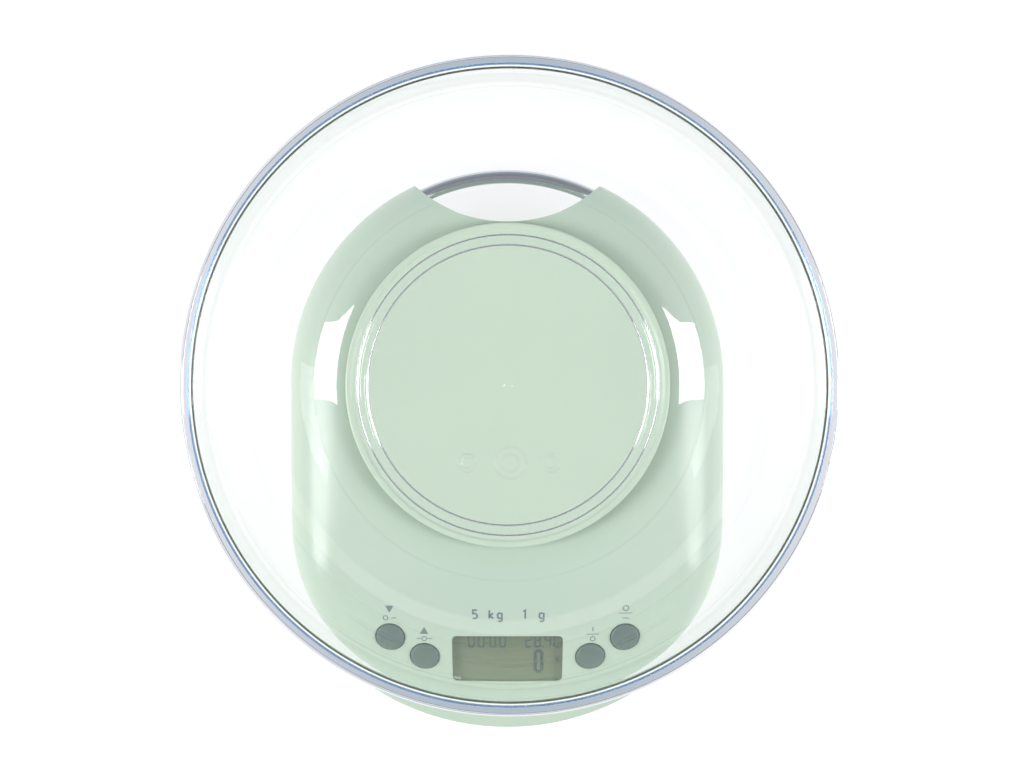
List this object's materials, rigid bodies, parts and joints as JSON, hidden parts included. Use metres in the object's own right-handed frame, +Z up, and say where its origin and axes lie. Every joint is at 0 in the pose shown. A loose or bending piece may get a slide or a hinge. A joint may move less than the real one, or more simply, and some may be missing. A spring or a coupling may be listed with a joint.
{
  "type": "kitchen scale",
  "caption": "Flat electronic kitchen scale with a sloping display panel, push buttons, a hanging bar and a clear lift-off bowl.",
  "frame": {"origin": "on the table under the middle of the whole scale's bounding box", "axes": "+Z up, -Y towards the user and the display, +X to the user's right"},
  "size_m": [0.243, 0.2586, 0.127],
  "materials": {
    "clear_plastic": "clear glossy styrene",
    "green_plastic": "satin",
    "green_tray": "fine grain",
    "chrome_bar": "polished",
    "grey_plastic": "satin",
    "clear_lens": "clear",
    "display_glass": "liquid crystal glass",
    "dark_plastic": "matt",
    "rubber_feet": "matt",
    "silicone": "matt",
    "circuit_board": "solder mask",
    "aluminium_parts": "milled",
    "steel_parts": "zinc plated",
    "contact_brass": "plated",
    "battery_jacket": "printed sleeve",
    "red_wire": "wire sleeve",
    "black_wire": "wire sleeve",
    "grey_wire": "wire sleeve"
  },
  "bodies": {
    "housing": {"upper_housing": "green_plastic", "lower_housing": "green_tray", "hanging_bar": "chrome_bar", "load_cell": "aluminium_parts", "strain_gauge_coating": "silicone", "cell_base_block": "steel_parts", "overload_stop": "steel_parts", "base_screw_1": "steel_parts", "base_screw_2": "steel_parts", "unit_dome": "silicone", "tare_dome": "silicone", "power_dome": "silicone", "set_dome": "silicone", "display_window": "clear_lens", "lcd_glass": "display_glass", "lcd_frame": "dark_plastic", "zebra_strip": "silicone", "main_board": "circuit_board", "converter_chip": "dark_plastic", "controller_blob": "dark_plastic", "buzzer": "dark_plastic", "temperature_sensor": "dark_plastic", "board_screw_left": "steel_parts", "board_screw_right": "steel_parts", "battery_front": "battery_jacket", "battery_back": "battery_jacket", "terminal_front": "contact_brass", "terminal_back": "contact_brass", "bridge_contact": "contact_brass", "load_cell_cable": "grey_wire", "battery_lead_positive": "red_wire", "battery_lead_negative": "black_wire", "foot_back_right": "rubber_feet", "foot_back_left": "rubber_feet", "foot_front_right": "rubber_feet", "foot_front_left": "rubber_feet", "housing_screw_back_right": "steel_parts", "housing_screw_back_left": "steel_parts", "housing_screw_middle_right": "steel_parts", "housing_screw_middle_left": "steel_parts", "housing_screw_front_right": "steel_parts", "housing_screw_front_left": "steel_parts"},
    "platform": {"weighing_platform": "green_plastic", "platform_bracket": "aluminium_parts", "bracket_screw_1": "steel_parts", "bracket_screw_2": "steel_parts"},
    "bowl": {"bowl": "clear_plastic"},
    "battery_cover": {"battery_cover": "green_tray"},
    "unit_button": {"unit_button": "grey_plastic"},
    "tare_button": {"tare_button": "grey_plastic"},
    "power_button": {"power_button": "grey_plastic"},
    "set_button": {"set_button": "grey_plastic"}
  },
  "joints": [
    {"name": "platform_press", "type": "slide", "parent": "housing", "child": "platform", "axis": [0, 0, -1], "range_m": [0, 0.0012], "stiffness_N_per_m": 40000, "deforming": ["load_cell"]},
    {"name": "bowl_lift", "type": "slide", "parent": "platform", "child": "bowl", "axis": [0, 0, 1], "range_m": [0, 0.13]},
    {"name": "battery_cover_hinge", "type": "hinge", "parent": "housing", "child": "battery_cover", "pos_m": [0, -0.0679, 0.003], "axis": [-1, 0, 0], "range_deg": [0, 75]},
    {"name": "unit_press", "type": "slide", "parent": "housing", "child": "unit_button", "axis": [0, 0.2588, -0.9659], "range_m": [0, 0.0008], "stiffness_N_per_m": 1500, "deforming": ["unit_dome"]},
    {"name": "tare_press", "type": "slide", "parent": "housing", "child": "tare_button", "axis": [0, 0.2588, -0.9659], "range_m": [0, 0.0008], "stiffness_N_per_m": 1500, "deforming": ["tare_dome"]},
    {"name": "power_press", "type": "slide", "parent": "housing", "child": "power_button", "axis": [0, 0.2588, -0.9659], "range_m": [0, 0.0008], "stiffness_N_per_m": 1500, "deforming": ["power_dome"]},
    {"name": "set_press", "type": "slide", "parent": "housing", "child": "set_button", "axis": [0, 0.2588, -0.9659], "range_m": [0, 0.0008], "stiffness_N_per_m": 1500, "deforming": ["set_dome"]}
  ]
}
